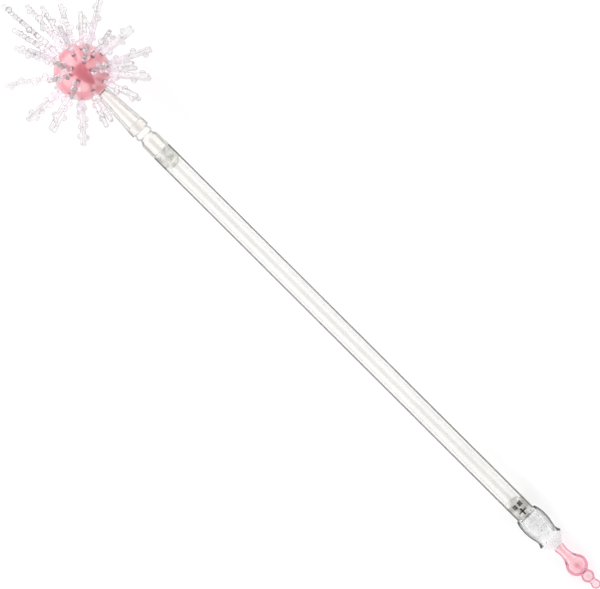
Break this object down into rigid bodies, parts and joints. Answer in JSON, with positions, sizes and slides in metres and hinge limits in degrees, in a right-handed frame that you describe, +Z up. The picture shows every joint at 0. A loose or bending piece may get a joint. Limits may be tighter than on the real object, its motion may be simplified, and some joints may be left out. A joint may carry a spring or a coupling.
{
  "type": "magic wand",
  "caption": "Toy magic wand: a clear tube with a pink ball of crystal sprays at its head and a clear tulip and bubble finial at its tail, both on plugs that pull and turn.",
  "frame": {"origin": "middle of the wand's footprint, on the surface it lies on", "axes": "+X from head to tail, along the wand as it lies (its axis dips 4.88 degrees towards the tail), +Y to its side, +Z up"},
  "size_m": [0.5452, 0.0916, 0.0935],
  "materials": {
    "pink_shell": "glossy moulded pink",
    "crystal": "clear moulded, faint pearl tint",
    "clear": "clear polished",
    "frosted": "milky grey moulded",
    "pink_clear": "clear pink tint"
  },
  "bodies": {
    "tube": {"tube": "clear"},
    "upper_plug": {"upper_plug": "frosted"},
    "head": {"ball_half_left": "pink_shell", "ball_half_right": "pink_shell", "crystal_spray_01": "crystal", "crystal_spray_02": "crystal", "crystal_spray_03": "crystal", "crystal_spray_04": "crystal", "crystal_spray_05": "crystal", "crystal_spray_06": "crystal", "crystal_spray_07": "crystal", "crystal_spray_08": "crystal", "crystal_spray_09": "crystal", "crystal_spray_10": "crystal", "crystal_spray_11": "crystal", "crystal_spray_12": "crystal", "crystal_spray_13": "crystal", "crystal_spray_14": "crystal", "crystal_spray_15": "crystal", "crystal_spray_16": "crystal", "crystal_spray_17": "crystal", "crystal_spray_18": "crystal", "crystal_spray_19": "crystal", "crystal_spray_20": "crystal", "crystal_spray_21": "crystal", "crystal_spray_22": "crystal", "crystal_spray_23": "crystal", "crystal_spray_24": "crystal", "crystal_spray_25": "crystal", "crystal_spray_26": "crystal", "crystal_spray_27": "crystal", "crystal_spray_28": "crystal", "crystal_spray_29": "crystal", "crystal_spray_30": "crystal", "crystal_spray_31": "crystal", "crystal_spray_32": "crystal", "crystal_spray_33": "crystal", "crystal_spray_34": "crystal", "crystal_spray_35": "crystal", "crystal_spray_36": "crystal", "crystal_spray_37": "crystal", "crystal_spray_38": "crystal", "crystal_spray_39": "crystal", "crystal_spray_40": "crystal", "crystal_spray_41": "crystal", "crystal_spray_42": "crystal", "crystal_spray_43": "crystal", "crystal_spray_44": "crystal", "crystal_spray_45": "crystal", "neck_cone": "clear", "collar": "clear"},
    "lower_plug": {"lower_plug": "frosted"},
    "tail": {"tulip": "clear", "tail_cap": "clear", "finial": "pink_clear"}
  },
  "joints": [
    {"name": "head_pull", "type": "slide", "parent": "tube", "child": "upper_plug", "axis": [-0.9964, 0, 0.0851], "range_m": [0, 0.02]},
    {"name": "head_twist", "type": "hinge", "parent": "upper_plug", "child": "head", "pos_m": [-0.13757, 0.00214, 0.04067], "axis": [0.9964, 0, -0.0851], "continuous": true},
    {"name": "tail_pull", "type": "slide", "parent": "tube", "child": "lower_plug", "axis": [0.9964, 0, -0.0851], "range_m": [0, 0.02]},
    {"name": "tail_twist", "type": "hinge", "parent": "lower_plug", "child": "tail", "pos_m": [0.20817, 0.00214, 0.01115], "axis": [0.9964, 0, -0.0851], "continuous": true}
  ]
}
